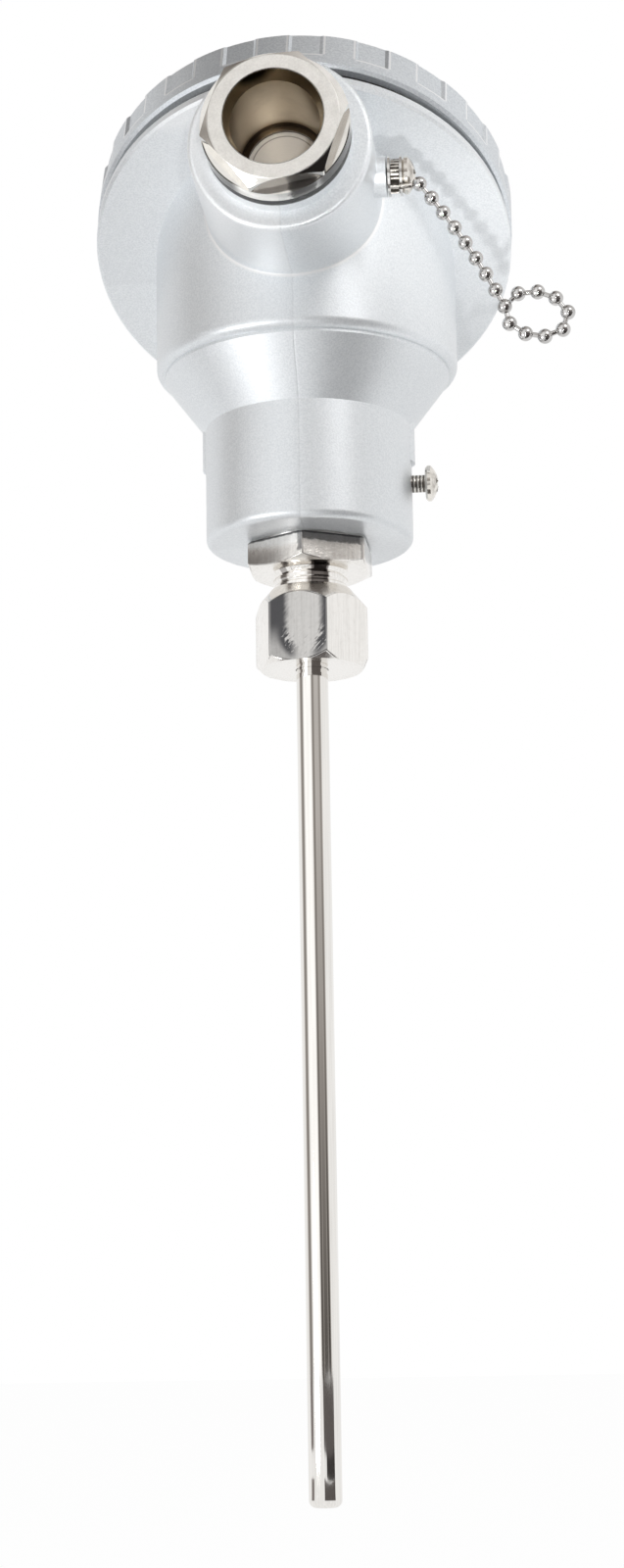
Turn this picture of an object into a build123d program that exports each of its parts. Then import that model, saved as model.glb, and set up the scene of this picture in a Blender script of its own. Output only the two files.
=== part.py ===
"""Resistance thermometer with a slanted screw-cap connection head.

Millimetres, +Z up along the sheath. The origin is where the sheath leaves the compression
nut, and the cable entry points along -Y. Everything round about the stem is turned about Z,
the cap side is built on the slanted flange plane, and the cable entry on the boss plane.
"""
import os
from math import cos, radians, sin, sqrt

from build123d import *

# Running clearances and seats
slide_gap = 0.1
thread_gap = 0.08
seat_gap = 0.05
loose_gap = 0.3
hole_spare = 1.0

# Sheath and sensor
sheath_radius = 3.0
sheath_wall = 0.6
sheath_exposed = 152.4
sheath_stand = 8.3
sheath_tip_wall = 1.4
sheath_tip_round = 1.4
mark_drop = 0.35
mark_width = 0.6
mark_depth = 0.2
element_radius = 1.4
element_length = 15.0
seal_cap_height = 1.5

# Compression nut
nut_flats = 19.0
nut_height = 15.2
nut_top_radius = 7.6
nut_top_chamfer = 4.1
nut_foot_chamfer = 1.4
nut_turn = -11.0
nut_floor = 1.6

# Ferrule
ferrule_radius = 5.1
ferrule_nose_radius = 3.6
ferrule_skirt = 1.6
ferrule_height = 3.6

# Fitting between nut and neck
stub_radius = 7.1
stub_waist = 6.6
stub_edge = 0.5
groove_radius = 6.85
groove_step = 0.3
groove_lift = 0.6
flare_radius = 7.4
flare_height = 0.9
hex_flats = 22.0
stub_show = 3.3
hex_height = 5.2
hex_chamfer = 1.0
hex_top_chamfer = 0.4
hex_turn = 27.8
neck_thread_radius = 10.4
neck_thread_length = 14.0
thread_lead = 0.8
bore_spare = 2.0

# Head: neck, cone and body, turned about Z
neck_radius = 19.6
neck_lift = 0.5
neck_round = 1.3
neck_length = 22.6
cone_height = 10.2
body_radius = 28.8
body_round = 1.7
body_wall = 4.6
step_height = 0.6
step_depth = 1.6
neck_wall = 3.6
chamber_rise = 3.5
shelf_height = 3.4
cone_top_radius = body_radius - step_depth
neck_core_radius = neck_radius - neck_wall
chamber_radius = body_radius - body_wall

# Slanted flange, collar and cap
tilt = 30.0
flange_y = -3.9
flange_rise = 23.8
flange_lip = 6.55
flange_thickness = 2.7
flange_round = 0.5
collar_wall = 3.6
collar_height = 9.0
cap_gap = 2.5
cap_lip = 0.2
cap_wall = 5.32
cap_height = 10.3
cap_top_thickness = 2.0
cap_edge = 1.2
cap_foot_chamfer = 0.6
rib_count = 20
rib_depth = 0.45
rib_band = 3.2
rib_crest = 6.0
rib_overrun = 0.5
rib_first = 14.1
gasket_inset = 1.6
flange_radius = body_radius / cos(radians(tilt)) + flange_lip
cap_radius = flange_radius + cap_lip
cap_bore = cap_radius - cap_wall
collar_radius = cap_bore - thread_gap
collar_bore = collar_radius - collar_wall

# Cable entry boss
boss_rise = 3.0
boss_face_y = -49.5
boss_radius = 16.5
boss_root_y = -20.0
boss_round = 0.9
nose_radius = 13.1
nose_length = 4.5
entry_thread_radius = 10.15
entry_thread_depth = 17.0
entry_hole_radius = 8.0

# Gland nut and what it clamps
gland_flats = 23.0
gland_front_radius = 11.4
gland_front = 10.75
gland_hex_depth = 3.1
gland_chamfer_depth = 1.4
gland_flange_radius = 13.2
gland_flange_edge = 0.25
gland_turn = 10.0
gland_bore = 7.9
gland_mouth_radius = 8.85
gland_mouth_depth = 2.9
gland_shank_end = -10.2
washer_thickness = 0.8
washer_bore = 6.9
disc_thickness = 1.0
seal_bore = 5.0

# Small screws
screw_radius = 1.65
screw_head_radius = 3.4
screw_head_height = 2.4
screw_head_rim = 1.0
screw_head_edge = 0.4
slot_width = 0.9
slot_length = 3.4
slot_depth = 1.2
lock_screw_rise = 11.4
lock_screw_stand_off = 2.6
lock_screw_tip_gap = 0.6

# Chain screw lug on the side of the boss
lug_y = -36.0
lug_drop = 1.6
lug_radius = 3.65
lug_end = 18.1
lug_root = 13.5
lug_hole_depth = 6.0
small_washer_radius = 3.65
small_washer_thickness = 0.45
tag_radius = 3.1
tag_thickness = 1.5
tag_tongue = 4.65
tag_tongue_width = 1.6

# Bead chain
bead_radius = 1.35
link_radius = 0.45
strand_start_reach = (6.0, -2.4, -2.8)
strand_middle_reach = (13.8, -0.8, -13.7)
strand_end_reach = (20.5, 0.7, -25.6)
strand_links = 8
loop_length = 11.7
loop_width = 8.2
loop_slope = -17.0
loop_links = 9
loop_gap = 0.12

# Terminal block inside the head
block_room = 3.2
block_rim = 1.0
block_lift = 4.5
block_thickness = 8.0
block_hole_radius = 6.0
block_edge = 0.8
post_radius = 3.8
post_inset = 4.5
block_screw_radius = 1.9
block_screw_head_radius = 3.5
block_screw_length = 19.0
terminal_gap = 3.0
terminal_side_gap = 1.0
terminal_height = 5.5
terminal_setback = 1.0
terminal_sunk = 1.0
rib_wall = 1.6
rib_wall_height = 4.2
terminal_screw_radius = 1.2
terminal_screw_head_inset = 0.9
terminal_screw_head_height = 1.7
terminal_screw_inset = 2.2
wire_radius = 0.6
wire_spacing = 1.45
wire_lift = 1.4
wire_straight = 9.5
wire_spread = 1.5
wire_share = 0.45
wire_bow = -4.0
wire_arch = 5.0
wire_grip = 2.0
wire_bend = 1.5

# Heights, stacked from the nut upwards
hex_bottom = nut_height + stub_show
hex_top = hex_bottom + hex_height
thread_top = hex_top + neck_thread_length
sheath_top = thread_top + sheath_stand
neck_bottom = hex_top + neck_lift
lock_screw_z = neck_bottom + lock_screw_rise
cone_bottom = neck_bottom + neck_length
cone_top = cone_bottom + cone_height
chamber_floor = cone_top + chamber_rise
block_bottom = chamber_floor + block_lift
block_top = block_bottom + block_thickness
flange_z = cone_top + flange_rise
boss_z = flange_z + boss_rise
lug_z = boss_z - lug_drop

# Terminal block and its row of terminals
block_radius = chamber_radius - block_room
post_offset = block_radius - post_inset
terminal_row = 2 * (post_offset - block_screw_head_radius - terminal_side_gap)
terminal_width = (terminal_row - 2 * terminal_gap) / 3
terminal_pitch = terminal_width + terminal_gap
terminal_front = block_hole_radius + terminal_setback
terminal_back = sqrt((block_radius - block_rim) ** 2 - (terminal_row / 2) ** 2)
terminal_length = terminal_back - terminal_front
terminal_screw_head_radius = terminal_width / 2 - terminal_screw_head_inset

# Planes that everything else hangs from
stem_axis = Axis.Z
flange_plane = Plane(
    origin=(0, flange_y, flange_z),
    x_dir=(1, 0, 0),
    z_dir=(0, sin(radians(tilt)), cos(radians(tilt))),
)
flange_top_plane = flange_plane.offset(flange_thickness)
cap_foot_plane = flange_plane.offset(flange_thickness + cap_gap)
flange_section = Plane(
    origin=flange_plane.origin, x_dir=(1, 0, 0), z_dir=-flange_plane.y_dir
)
cap_axis = Axis(flange_plane.origin, flange_plane.z_dir)
boss_plane = Plane(origin=(0, boss_face_y, boss_z), x_dir=(1, 0, 0), z_dir=(0, -1, 0))
boss_section = Plane(origin=boss_plane.origin, x_dir=(1, 0, 0), z_dir=-boss_plane.y_dir)
boss_axis = Axis(boss_plane.origin, boss_plane.z_dir)
lug_plane = Plane(origin=(lug_end, lug_y, lug_z), x_dir=(0, 1, 0), z_dir=(1, 0, 0))
lock_plane = Plane(origin=(neck_radius, 0, lock_screw_z), x_dir=(0, 1, 0), z_dir=(1, 0, 0))
parts = []


def finish(builder, name):
    """Name a finished piece and keep it for writing."""
    builder.part.label = name
    parts.append(builder.part)


def ring_profile(inner, outer, low, high):
    """Half-section of a plain ring, for the sketch that is open."""
    with Locations((inner, low)):
        Rectangle(outer - inner, high - low, align=(Align.MIN, Align.MIN))


def pan_head(plane, radius, height, rim):
    """Domed screw head standing on a plane, with a cross recess and a broken lower edge."""
    with BuildSketch(Plane(plane.origin, x_dir=plane.x_dir, z_dir=-plane.y_dir)) as section:
        with BuildLine():
            Polyline(
                (0, height),
                (0, 0),
                (radius - screw_head_edge, 0),
                (radius, screw_head_edge),
                (radius, rim),
            )
            TangentArc((0, height), (radius, rim), tangent=(1, 0))
        make_face()
    revolve(section.sketch, axis=Axis(plane.origin, plane.z_dir))
    with BuildSketch(plane.offset(height)) as recess:
        Rectangle(slot_length, slot_width)
        Rectangle(slot_width, slot_length)
    extrude(recess.sketch, amount=-slot_depth, mode=Mode.SUBTRACT)


def shank(plane, radius, length):
    """Plain screw shank behind a head that stands on a plane."""
    with BuildSketch(plane) as section:
        Circle(radius)
    extrude(section.sketch, amount=-length)


# Sheath: a closed tube with a rounded tip and a fine ring mark just below the nut
sheath_bottom = -sheath_exposed
sheath_bore = sheath_radius - sheath_wall
with BuildPart() as probe_sheath:
    with BuildSketch(Plane.XZ):
        with BuildLine():
            Line((0, sheath_bottom), (sheath_radius - sheath_tip_round, sheath_bottom))
            TangentArc(
                (sheath_radius - sheath_tip_round, sheath_bottom),
                (sheath_radius, sheath_bottom + sheath_tip_round),
                tangent=(1, 0),
            )
            Polyline(
                (sheath_radius, sheath_bottom + sheath_tip_round),
                (sheath_radius, -mark_drop - mark_width),
                (sheath_radius - mark_depth, -mark_drop - mark_width),
                (sheath_radius - mark_depth, -mark_drop),
                (sheath_radius, -mark_drop),
                (sheath_radius, sheath_top),
                (sheath_bore, sheath_top),
                (sheath_bore, sheath_bottom + sheath_tip_wall),
                (0, sheath_bottom + sheath_tip_wall),
                (0, sheath_bottom),
            )
        make_face()
    revolve(axis=stem_axis)
finish(probe_sheath, "probe_sheath")

# Platinum element near the tip, in packed oxide powder
fill_bottom = sheath_bottom + sheath_tip_wall
element_bottom = fill_bottom + element_radius
fill_top = sheath_top - seal_cap_height * 2
with BuildPart() as rtd_element:
    with BuildSketch(Plane.XY.offset(element_bottom)):
        Circle(element_radius)
    extrude(amount=element_length)
finish(rtd_element, "rtd_element")

with BuildPart() as oxide_fill:
    with BuildSketch(Plane.XY.offset(fill_bottom)):
        Circle(sheath_bore)
    extrude(amount=fill_top - fill_bottom)
    with BuildSketch(Plane.XY.offset(element_bottom)):
        Circle(element_radius)
    extrude(amount=element_length, mode=Mode.SUBTRACT)
finish(oxide_fill, "oxide_fill")

# Resin seal in the sheath's open end, with a small crown
with BuildPart() as end_seal:
    with BuildSketch(Plane.XZ):
        with BuildLine():
            Polyline(
                (0, fill_top),
                (sheath_bore, fill_top),
                (sheath_bore, sheath_top),
                (sheath_radius, sheath_top),
                (sheath_radius, sheath_top + seal_cap_height / 2),
                (sheath_bore, sheath_top + seal_cap_height),
                (0, sheath_top + seal_cap_height),
                close=True,
            )
        make_face()
    revolve(axis=stem_axis)
finish(end_seal, "end_seal")

# Compression nut: deep conical crown, small foot chamfer, thread bore and ferrule seat
nut_corner = nut_flats / 2 / cos(radians(30))
nut_thread_bore = stub_radius + thread_gap
ferrule_bottom = nut_floor + seat_gap
stub_bottom = ferrule_bottom + ferrule_skirt + seat_gap
with BuildPart() as compression_nut:
    with BuildSketch():
        RegularPolygon(nut_flats / 2, 6, major_radius=False, rotation=nut_turn)
    extrude(amount=nut_height)
    with BuildSketch(Plane.XZ):
        with BuildLine():
            Polyline(
                (0, 0),
                (nut_corner - nut_foot_chamfer, 0),
                (nut_corner, nut_foot_chamfer),
                (nut_corner, nut_height - nut_top_chamfer),
                (nut_top_radius, nut_height),
                (0, nut_height),
                close=True,
            )
        make_face()
    revolve(axis=stem_axis, mode=Mode.INTERSECT)
    with BuildSketch():
        Circle(sheath_radius + slide_gap)
    extrude(amount=nut_height, mode=Mode.SUBTRACT)
    with BuildSketch(Plane.XY.offset(nut_floor)):
        Circle(nut_thread_bore)
    extrude(amount=nut_height, mode=Mode.SUBTRACT)
finish(compression_nut, "compression_nut")

# Ferrule: skirt on the nut's floor, cone in the fitting's mouth
with BuildPart() as ferrule:
    with BuildSketch(Plane.XZ):
        with BuildLine():
            Polyline(
                (sheath_radius + slide_gap, ferrule_bottom),
                (ferrule_radius, ferrule_bottom),
                (ferrule_radius, ferrule_bottom + ferrule_skirt),
                (ferrule_nose_radius, ferrule_bottom + ferrule_height),
                (sheath_radius + slide_gap, ferrule_bottom + ferrule_height),
                close=True,
            )
        make_face()
    revolve(axis=stem_axis)
finish(ferrule, "ferrule")

# Fitting: stub for the nut, hexagon against the neck, thread inside the neck
hex_corner = hex_flats / 2 / cos(radians(30))
mouth_radius = ferrule_radius + slide_gap
mouth_depth = ferrule_height - ferrule_skirt
groove_bottom = nut_height + groove_lift
flare_bottom = hex_bottom - flare_height
with BuildPart() as fitting_body:
    with BuildSketch(Plane.XZ):
        with BuildLine():
            Polyline(
                (0, stub_bottom),
                (stub_radius - stub_edge, stub_bottom),
                (stub_radius, stub_bottom + stub_edge),
                (stub_radius, groove_bottom),
                (groove_radius, groove_bottom + groove_step),
                (groove_radius, groove_bottom + 2 * groove_step),
                (stub_radius, groove_bottom + 3 * groove_step),
                (stub_radius, flare_bottom - groove_step),
                (stub_waist, flare_bottom),
                (flare_radius, hex_bottom),
                (0, hex_bottom),
                close=True,
            )
        make_face()
    revolve(axis=stem_axis)
    with BuildSketch(Plane.XY.offset(hex_bottom)):
        RegularPolygon(hex_flats / 2, 6, major_radius=False, rotation=hex_turn)
    hexagon = extrude(amount=hex_height, mode=Mode.PRIVATE)
    with BuildSketch(Plane.XZ):
        with BuildLine():
            Polyline(
                (0, hex_bottom),
                (hex_corner - 2 * hex_chamfer, hex_bottom),
                (hex_corner, hex_bottom + hex_chamfer),
                (hex_corner, hex_top - hex_top_chamfer),
                (hex_corner - hex_top_chamfer, hex_top),
                (0, hex_top),
                close=True,
            )
        make_face()
    crown = revolve(axis=stem_axis, mode=Mode.PRIVATE)
    add(hexagon & crown)
    with BuildSketch(Plane.XY.offset(hex_top)):
        Circle(neck_thread_radius)
    extrude(amount=neck_thread_length)
    chamfer(fitting_body.edges().sort_by(Axis.Z)[-1], thread_lead)
    with BuildSketch():
        Circle(sheath_radius + slide_gap)
    extrude(amount=thread_top, mode=Mode.SUBTRACT)
    with BuildSketch(Plane.XZ):
        with BuildLine():
            Polyline(
                (0, stub_bottom),
                (mouth_radius, stub_bottom),
                (ferrule_nose_radius + slide_gap, stub_bottom + mouth_depth),
                (0, stub_bottom + mouth_depth),
                close=True,
            )
        make_face()
    revolve(axis=stem_axis, mode=Mode.SUBTRACT)
finish(fitting_body, "fitting_body")

# Head housing, one casting
neck_bore = neck_thread_radius + thread_gap
bore_top = thread_top + bore_spare
body_top = flange_z + flange_radius
body_bottom = cone_top + step_height
collar_top = flange_thickness + collar_height
tapped_radius = screw_radius + seat_gap
with BuildPart() as head_housing:
    with BuildSketch(Plane.XZ):
        with BuildLine():
            Line((0, neck_bottom), (neck_radius - neck_round, neck_bottom))
            TangentArc(
                (neck_radius - neck_round, neck_bottom),
                (neck_radius, neck_bottom + neck_round),
                tangent=(1, 0),
            )
            Polyline(
                (neck_radius, neck_bottom + neck_round),
                (neck_radius, cone_bottom),
                (cone_top_radius, cone_top),
                (cone_top_radius, body_bottom),
                (body_radius - body_round, body_bottom),
            )
            TangentArc(
                (body_radius - body_round, body_bottom),
                (body_radius, body_bottom + body_round),
                tangent=(1, 0),
            )
            Polyline(
                (body_radius, body_bottom + body_round),
                (body_radius, body_top),
                (0, body_top),
                (0, neck_bottom),
            )
        make_face()
    revolve(axis=stem_axis)
    with BuildSketch(boss_plane):
        Circle(boss_radius)
    extrude(amount=boss_face_y - boss_root_y)
    split(bisect_by=flange_plane, keep=Keep.BOTTOM)
    fillet(head_housing.faces().sort_by(Axis.Y)[0].edges(), boss_round)
    with BuildSketch(boss_plane):
        Circle(nose_radius)
    extrude(amount=nose_length)
    with BuildSketch(flange_section):
        with BuildLine():
            Polyline(
                (0, 0),
                (flange_radius - flange_round, 0),
                (flange_radius, flange_round),
                (flange_radius, flange_thickness - flange_round),
                (flange_radius - flange_round, flange_thickness),
                (collar_radius, flange_thickness),
                (collar_radius, collar_top - flange_round),
                (collar_radius - flange_round, collar_top),
                (0, collar_top),
                close=True,
            )
        make_face()
    revolve(axis=cap_axis)
    with BuildSketch(Plane(origin=(lug_root, lug_y, lug_z), x_dir=(0, 1, 0), z_dir=(1, 0, 0))):
        Circle(lug_radius)
    extrude(amount=lug_end - lug_root)
    # Inside: neck thread, cored neck, chamber and the mouth under the cap
    with BuildSketch(Plane.XZ):
        with BuildLine():
            Polyline(
                (0, neck_bottom),
                (neck_bore, neck_bottom),
                (neck_bore, bore_top),
                (neck_core_radius, bore_top + shelf_height),
                (neck_core_radius, cone_bottom),
                (chamber_radius, chamber_floor),
                (chamber_radius, body_top),
                (0, body_top),
                close=True,
            )
        make_face()
    revolve(axis=stem_axis, mode=Mode.SUBTRACT)
    with BuildSketch(flange_top_plane):
        Circle(collar_bore)
    extrude(amount=collar_height, mode=Mode.SUBTRACT)
    # Cable entry: thread for the gland, then the hole into the chamber
    with BuildSketch(boss_plane.offset(nose_length)):
        Circle(entry_thread_radius)
    extrude(amount=-(nose_length + entry_thread_depth), mode=Mode.SUBTRACT)
    with BuildSketch(boss_plane):
        Circle(entry_hole_radius)
    extrude(amount=boss_face_y - boss_root_y, mode=Mode.SUBTRACT)
    # Posts that carry the terminal block
    with BuildSketch(Plane.XY.offset(bore_top)):
        with Locations((post_offset, 0), (-post_offset, 0)):
            Circle(post_radius)
    extrude(amount=block_bottom - bore_top)
    with BuildSketch(Plane.XY.offset(block_bottom)):
        with Locations((post_offset, 0), (-post_offset, 0)):
            Circle(block_screw_radius + seat_gap)
    extrude(amount=block_thickness - block_screw_length - hole_spare, mode=Mode.SUBTRACT)
    # Tapped holes for the lock screw and the chain screw
    with BuildSketch(lock_plane):
        Circle(tapped_radius)
    extrude(amount=neck_bore - neck_radius - hole_spare, mode=Mode.SUBTRACT)
    with BuildSketch(lug_plane):
        Circle(tapped_radius)
    extrude(amount=-lug_hole_depth, mode=Mode.SUBTRACT)
finish(head_housing, "head_housing")

# Cap: thread bore, closed top, trapezoid grip ribs above a plain foot band
cap_foot = flange_thickness + cap_gap
cap_top = cap_foot + cap_height
cap_ceiling = cap_top - cap_top_thickness
rib_root = cap_radius - rib_depth
rib_half_crest = rib_crest / 2 - rib_overrun
rib_half_root = rib_crest / 2 + rib_depth + rib_overrun
with BuildPart() as screw_cap:
    with BuildSketch(flange_section):
        with BuildLine():
            Polyline(
                (0, cap_foot),
                (cap_radius - cap_foot_chamfer, cap_foot),
                (cap_radius, cap_foot + cap_foot_chamfer),
                (cap_radius, cap_top - cap_edge),
                (cap_radius - cap_edge, cap_top),
                (0, cap_top),
                close=True,
            )
        make_face()
    revolve(axis=cap_axis)
    with BuildSketch(cap_foot_plane.offset(rib_band)):
        Circle(cap_radius + rib_overrun)
        Circle(rib_root, mode=Mode.SUBTRACT)
        with PolarLocations(cap_radius, rib_count, start_angle=rib_first):
            Polygon(
                (-rib_depth - rib_overrun, -rib_half_root),
                (rib_overrun, -rib_half_crest),
                (rib_overrun, rib_half_crest),
                (-rib_depth - rib_overrun, rib_half_root),
                align=None,
                mode=Mode.SUBTRACT,
            )
    extrude(amount=cap_height, mode=Mode.SUBTRACT)
    with BuildSketch(cap_foot_plane):
        Circle(cap_bore)
    extrude(amount=cap_ceiling - cap_foot, mode=Mode.SUBTRACT)
finish(screw_cap, "screw_cap")

# Flat gasket round the collar, between flange and cap
with BuildPart() as cap_gasket:
    with BuildSketch(flange_section):
        ring_profile(
            collar_radius + slide_gap,
            flange_radius - gasket_inset,
            flange_thickness + seat_gap,
            cap_foot - seat_gap,
        )
    revolve(axis=cap_axis)
finish(cap_gasket, "cap_gasket")

# Gland nut: round flange, six flats, bored through, threaded shank
gland_seat = nose_length + seat_gap
with BuildPart() as gland_nut:
    with BuildSketch(boss_section):
        with BuildLine():
            Polyline(
                (0, gland_shank_end),
                (entry_thread_radius - thread_gap, gland_shank_end),
                (entry_thread_radius - thread_gap, gland_seat),
                (gland_flange_radius - gland_flange_edge, gland_seat),
                (gland_flange_radius, gland_seat + gland_flange_edge),
                (gland_flange_radius, gland_front - gland_chamfer_depth),
                (gland_front_radius, gland_front),
                (0, gland_front),
                close=True,
            )
        make_face()
    revolve(axis=boss_axis)
    with BuildSketch(boss_plane.offset(gland_front)):
        Circle(gland_flange_radius + hole_spare)
        RegularPolygon(
            gland_flats / 2, 6, major_radius=False, rotation=gland_turn, mode=Mode.SUBTRACT
        )
    extrude(amount=-gland_hex_depth, mode=Mode.SUBTRACT)
    with BuildSketch(boss_section):
        with BuildLine():
            Polyline(
                (0, gland_shank_end),
                (gland_bore, gland_shank_end),
                (gland_bore, gland_front - gland_mouth_depth),
                (gland_mouth_radius, gland_front),
                (0, gland_front),
                close=True,
            )
        make_face()
    revolve(axis=boss_axis, mode=Mode.SUBTRACT)
finish(gland_nut, "gland_nut")

# Stack behind the gland nut, from front to back
stack_radius = entry_thread_radius - slide_gap
washer_front = gland_shank_end - seat_gap
disc_front = washer_front - washer_thickness - seat_gap
seal_front = disc_front - disc_thickness
inner_washer_back = -entry_thread_depth
with BuildPart() as gland_washer:
    with BuildSketch(boss_section):
        ring_profile(washer_bore, stack_radius, washer_front - washer_thickness, washer_front)
    revolve(axis=boss_axis)
finish(gland_washer, "gland_washer")

with BuildPart() as blanking_disc:
    with BuildSketch(boss_plane.offset(disc_front)):
        Circle(stack_radius)
    extrude(amount=-disc_thickness)
finish(blanking_disc, "blanking_disc")

with BuildPart() as gland_seal:
    with BuildSketch(boss_section):
        ring_profile(
            seal_bore, stack_radius, inner_washer_back + washer_thickness, seal_front
        )
    revolve(axis=boss_axis)
finish(gland_seal, "gland_seal")

with BuildPart() as gland_inner_washer:
    with BuildSketch(boss_section):
        ring_profile(
            washer_bore, stack_radius, inner_washer_back, inner_washer_back + washer_thickness
        )
    revolve(axis=boss_axis)
finish(gland_inner_washer, "gland_inner_washer")

# Lock screw in the side of the neck, standing a little proud
lock_head_plane = lock_plane.offset(lock_screw_stand_off)
lock_length = neck_radius + lock_screw_stand_off - neck_thread_radius - lock_screw_tip_gap
with BuildPart() as lock_screw:
    pan_head(lock_head_plane, screw_head_radius, screw_head_height, screw_head_rim)
    shank(lock_head_plane, screw_radius, lock_length)
finish(lock_screw, "lock_screw")

# Chain screw with two washers, and the chain's ring tag between them
washer_1 = lug_end + loose_gap
tag_back = washer_1 + small_washer_thickness + slide_gap
washer_2 = tag_back + tag_thickness + slide_gap
head_seat = washer_2 + small_washer_thickness
small_bore = screw_radius + slide_gap
with BuildPart() as chain_inner_washer:
    with BuildSketch(lug_plane.offset(washer_1 - lug_end)):
        Circle(small_washer_radius)
        Circle(small_bore, mode=Mode.SUBTRACT)
    extrude(amount=small_washer_thickness)
finish(chain_inner_washer, "chain_inner_washer")

with BuildPart() as chain_outer_washer:
    with BuildSketch(lug_plane.offset(washer_2 - lug_end)):
        Circle(small_washer_radius)
        Circle(small_bore, mode=Mode.SUBTRACT)
    extrude(amount=small_washer_thickness)
finish(chain_outer_washer, "chain_outer_washer")

chain_head_plane = lug_plane.offset(head_seat - lug_end)
with BuildPart() as chain_screw:
    pan_head(chain_head_plane, screw_head_radius, screw_head_height, screw_head_rim)
    shank(chain_head_plane, screw_radius, head_seat - lug_end + lug_hole_depth - hole_spare)
finish(chain_screw, "chain_screw")

# Ring tag: ring on the screw, tongue towards the first bead, wire past the screw's head
strand_start = lug_plane.origin + Vector(*strand_start_reach)
strand_middle = lug_plane.origin + Vector(*strand_middle_reach)
strand_end = lug_plane.origin + Vector(*strand_end_reach)
tag_way = Vector(0, *strand_start_reach[1:]).normalized()
tag_plane = Plane(origin=(tag_back, lug_y, lug_z), x_dir=tag_way, z_dir=lug_plane.z_dir)
tongue_end = tag_plane.offset(tag_thickness / 2).from_local_coords(Vector(tag_tongue, 0))
tag_reach = strand_start - tongue_end
wire_length = tag_reach.length - bead_radius - loop_gap
with BuildPart() as chain_tag:
    with BuildSketch(tag_plane):
        Circle(tag_radius)
        with Locations((tag_tongue / 2, 0)):
            Rectangle(tag_tongue + tag_tongue_width, tag_tongue_width)
        Circle(small_bore, mode=Mode.SUBTRACT)
    extrude(amount=tag_thickness)
    with BuildSketch(Plane(origin=tongue_end, z_dir=tag_reach)):
        Circle(link_radius)
    extrude(amount=wire_length)
finish(chain_tag, "chain_end_tag")


def bead(point, along):
    """Ball of the chain, its seam and poles kept off the line of the chain."""
    side = along.cross(Vector(0, 1, 0))
    with Locations(Plane(origin=point, x_dir=side, z_dir=along.cross(side)).location):
        Sphere(bead_radius)


def link(start, reach):
    """Straight pin from a point of the chain along a vector."""
    with BuildSketch(Plane(origin=start, z_dir=reach)) as section:
        Circle(link_radius)
    extrude(section.sketch, amount=reach.length)


# Strand of beads from the tag to the junction bead, slightly bowed
strand_arc = ThreePointArc(strand_start, strand_middle, strand_end)
strand_places = [k / strand_links for k in range(strand_links + 1)]
strand_points = [strand_arc @ place for place in strand_places]
with BuildPart() as chain_strand:
    for place in strand_places:
        bead(strand_arc @ place, strand_arc % place)
    for start, end in zip(strand_points, strand_points[1:]):
        link(start, end - start)
finish(chain_strand, "chain_strand")

# Closed loop of beads that hangs on the junction bead
junction = strand_points[-1]
slope = radians(loop_slope)
loop_x_dir = Vector(-cos(slope), 0, -sin(slope))
loop_plane = Plane(
    origin=junction - loop_x_dir * (loop_length / 2), x_dir=loop_x_dir, z_dir=(0, -1, 0)
)
loop_oval = loop_plane.from_local_coords(Ellipse(loop_length / 2, loop_width / 2).wire())
loop_places = [k / loop_links for k in range(1, loop_links)]
loop_points = [loop_oval @ place for place in loop_places]
with BuildPart() as chain_loop:
    for place in loop_places:
        bead(loop_oval @ place, loop_oval % place)
    for start, end in zip(loop_points, loop_points[1:]):
        link(start, end - start)
    for start in (loop_points[0], loop_points[-1]):
        reach = junction - start
        link(start, reach * (1 - (bead_radius + loop_gap) / reach.length))
finish(chain_loop, "chain_loop")

# Ceramic terminal block: wire hole, screw holes, seats and ribs for the terminals
terminal_middle = terminal_front + terminal_length / 2
terminal_bottom = block_top - terminal_sunk
terminal_top = terminal_bottom + terminal_height
terminal_x = [-terminal_pitch, 0, terminal_pitch]
with BuildPart() as terminal_block:
    with BuildSketch(Plane.XY.offset(block_bottom)):
        Circle(block_radius)
    extrude(amount=block_thickness)
    chamfer(terminal_block.edges().sort_by(Axis.Z)[-1], block_edge)
    with BuildSketch(Plane.XY.offset(block_top)):
        with GridLocations(terminal_pitch, 1, 2, 1):
            with Locations((0, terminal_middle)):
                Rectangle(rib_wall, terminal_length)
    extrude(amount=rib_wall_height)
    with BuildSketch(Plane.XY.offset(block_top)):
        Circle(block_hole_radius)
        with Locations((post_offset, 0), (-post_offset, 0)):
            Circle(block_screw_radius + slide_gap)
    extrude(amount=-block_thickness, mode=Mode.SUBTRACT)
    with BuildSketch(Plane.XY.offset(block_top)):
        with Locations(*[(x, terminal_middle) for x in terminal_x]):
            Rectangle(terminal_width + slide_gap, terminal_length + slide_gap)
    extrude(amount=-terminal_sunk, mode=Mode.SUBTRACT)
finish(terminal_block, "terminal_block")

# Two screws hold the block on the posts
block_seat = Plane.XY.offset(block_top)
with BuildPart() as block_screw:
    pan_head(block_seat, block_screw_head_radius, screw_head_height, screw_head_rim)
    shank(block_seat, block_screw_radius, block_screw_length)
with BuildPart() as block_screws:
    with Locations((post_offset, 0, 0), (-post_offset, 0, 0)):
        add(block_screw.part)
finish(block_screws, "block_screws")

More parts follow.
